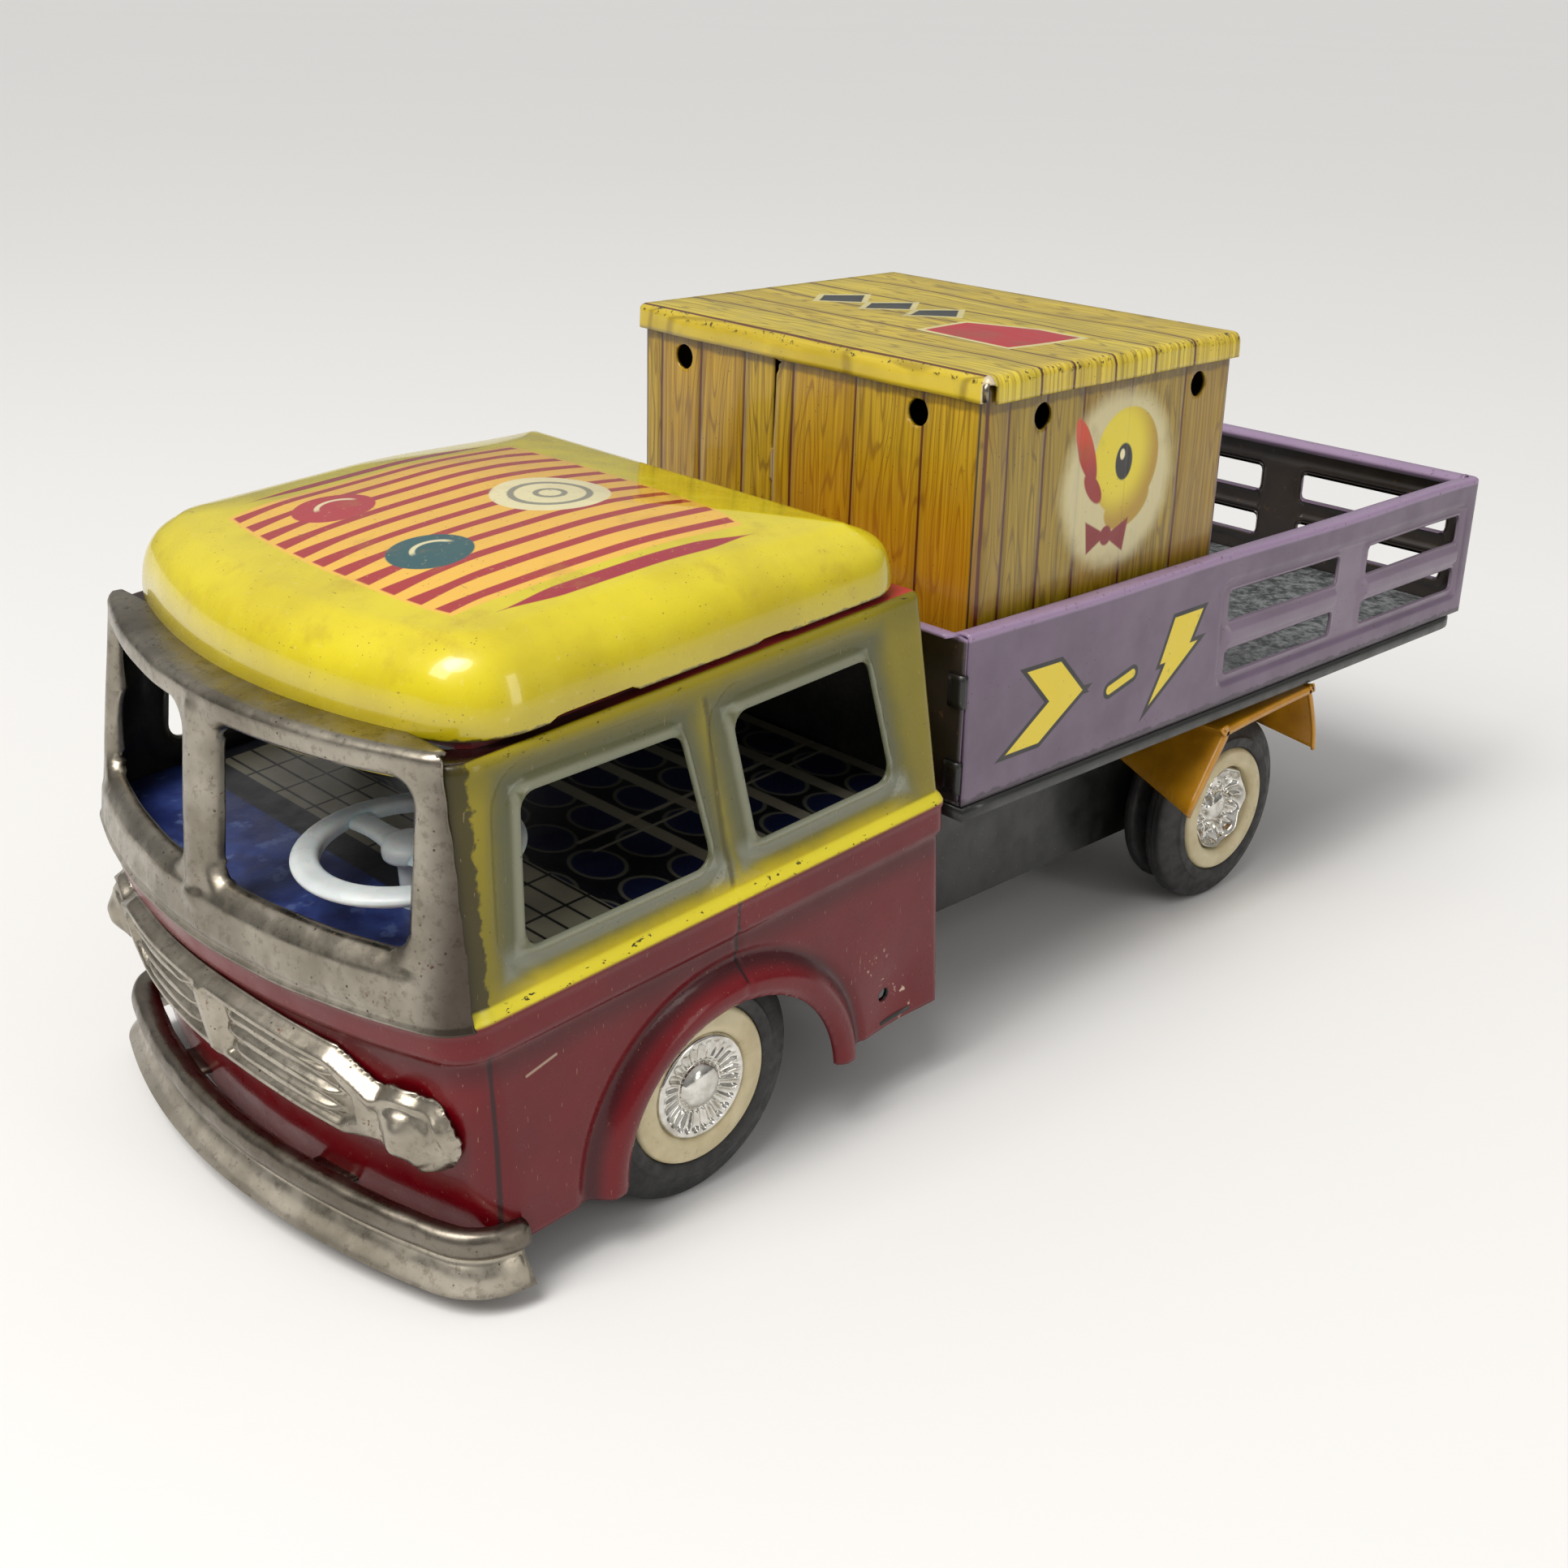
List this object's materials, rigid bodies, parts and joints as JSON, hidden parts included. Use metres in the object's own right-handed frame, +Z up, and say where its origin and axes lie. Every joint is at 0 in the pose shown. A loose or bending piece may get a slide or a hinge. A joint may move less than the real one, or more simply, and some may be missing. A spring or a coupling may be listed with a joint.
{
  "type": "clockwork tin lorry",
  "caption": "Clockwork tin cab-over lorry with a domed striped roof, open windows, slatted cargo bed and a wood-grain crate with a hinged lid.",
  "frame": {"origin": "centre of the overall box on the ground under the wheels", "axes": "+Z up, front of the lorry towards -Y, its left side towards +X"},
  "size_m": [0.0764, 0.2069, 0.088],
  "materials": {
    "black_tin": "black stove-enamelled tin, slightly worn",
    "cab_litho": "lithographed tin, maroon below the belt and yellow above",
    "interior_litho": "lithographed tin, blue with a pale grid",
    "red_tin": "red enamelled tin",
    "roof_litho": "glossy yellow lithographed tin with red stripes",
    "tinplate": "bare tinplate, dull bright with light rust specks",
    "white_plastic": "translucent white plastic",
    "galvanised_tin": "mottled galvanised-look tin",
    "lilac_tin": "greyed lilac enamelled tin",
    "crate_litho": "lithographed wood grain on tin",
    "steel": "drawn steel",
    "ochre_tin": "ochre enamelled tin",
    "motor_tinplate": "stamped tinplate",
    "spring_steel": "blued spring steel",
    "brass": "stamped brass",
    "tyre_rubber": "smooth black rubber",
    "ivory_plastic": "ivory moulded plastic",
    "plated_trim": "vacuum-plated embossed trim"
  },
  "bodies": {
    "lorry_body": {"chassis_pan": "black_tin", "cab_shell": "cab_litho", "cab_interior_plate": "interior_litho", "roof_collar": "red_tin", "roof_dome": "roof_litho", "windshield_frame": "tinplate", "grille": "tinplate", "front_bumper": "tinplate", "bed_base": "black_tin", "bed_floor": "galvanised_tin", "bed_sides": "lilac_tin", "bed_headboard": "lilac_tin", "crate_body": "crate_litho", "crate_hinge_pin": "steel", "rear_fender_left": "ochre_tin", "rear_fender_right": "ochre_tin", "motor_plate_left": "motor_tinplate", "motor_plate_right": "motor_tinplate", "motor_pillars": "steel", "mainspring": "spring_steel"},
    "front_axle_set": {"front_axle": "steel", "front_left_tyre": "tyre_rubber", "front_right_tyre": "tyre_rubber", "front_left_disc": "ivory_plastic", "front_right_disc": "ivory_plastic", "front_left_hubcap": "plated_trim", "front_right_hubcap": "plated_trim"},
    "rear_axle_set": {"rear_axle": "steel", "rear_left_tyre": "tyre_rubber", "rear_right_tyre": "tyre_rubber", "rear_left_disc": "ivory_plastic", "rear_right_disc": "ivory_plastic", "rear_left_hubcap": "plated_trim", "rear_right_hubcap": "plated_trim", "axle_pinion": "brass"},
    "first_arbor_set": {"first_arbor": "steel", "first_pinion": "brass", "first_wheel": "brass"},
    "second_arbor_set": {"second_arbor": "steel", "second_pinion": "brass", "second_wheel": "brass"},
    "winding_set": {"winding_arbor": "steel", "winding_key": "motor_tinplate", "great_wheel": "brass", "ratchet_wheel": "steel", "click": "steel", "click_spring": "steel"},
    "steering": {"steering_wheel": "white_plastic"},
    "lid": {"crate_lid": "crate_litho"}
  },
  "joints": [
    {"name": "rear_axle_spin", "type": "hinge", "parent": "lorry_body", "child": "rear_axle_set", "pos_m": [0, 0.049, 0.0145], "axis": [1, 0, 0], "continuous": true},
    {"name": "front_axle_spin", "type": "hinge", "parent": "lorry_body", "child": "front_axle_set", "pos_m": [0, -0.062, 0.0145], "axis": [1, 0, 0], "continuous": true},
    {"name": "second_arbor_spin", "type": "hinge", "parent": "lorry_body", "child": "second_arbor_set", "pos_m": [0, 0.03998, 0.01778], "axis": [1, 0, 0], "continuous": true},
    {"name": "first_arbor_spin", "type": "hinge", "parent": "lorry_body", "child": "first_arbor_set", "pos_m": [0, 0.02955, 0.02058], "axis": [1, 0, 0], "continuous": true},
    {"name": "winding_spin", "type": "hinge", "parent": "lorry_body", "child": "winding_set", "pos_m": [0, 0.0146, 0.02189], "axis": [1, 0, 0], "continuous": true},
    {"name": "steering_spin", "type": "hinge", "parent": "lorry_body", "child": "steering", "pos_m": [0.015, -0.08453, 0.03513], "axis": [0, -0.0767, 0.9971], "continuous": true},
    {"name": "crate_lid_hinge", "type": "hinge", "parent": "lorry_body", "child": "lid", "pos_m": [0, 0.0383, 0.0846], "axis": [-1, 0, 0], "range_deg": [0, 100]}
  ],
  "couplings": [
    {"joint": "second_arbor_spin", "follows": "rear_axle_spin", "ratio": -0.6},
    {"joint": "first_arbor_spin", "follows": "rear_axle_spin", "ratio": 0.23077},
    {"joint": "winding_spin", "follows": "rear_axle_spin", "ratio": -0.057692}
  ]
}
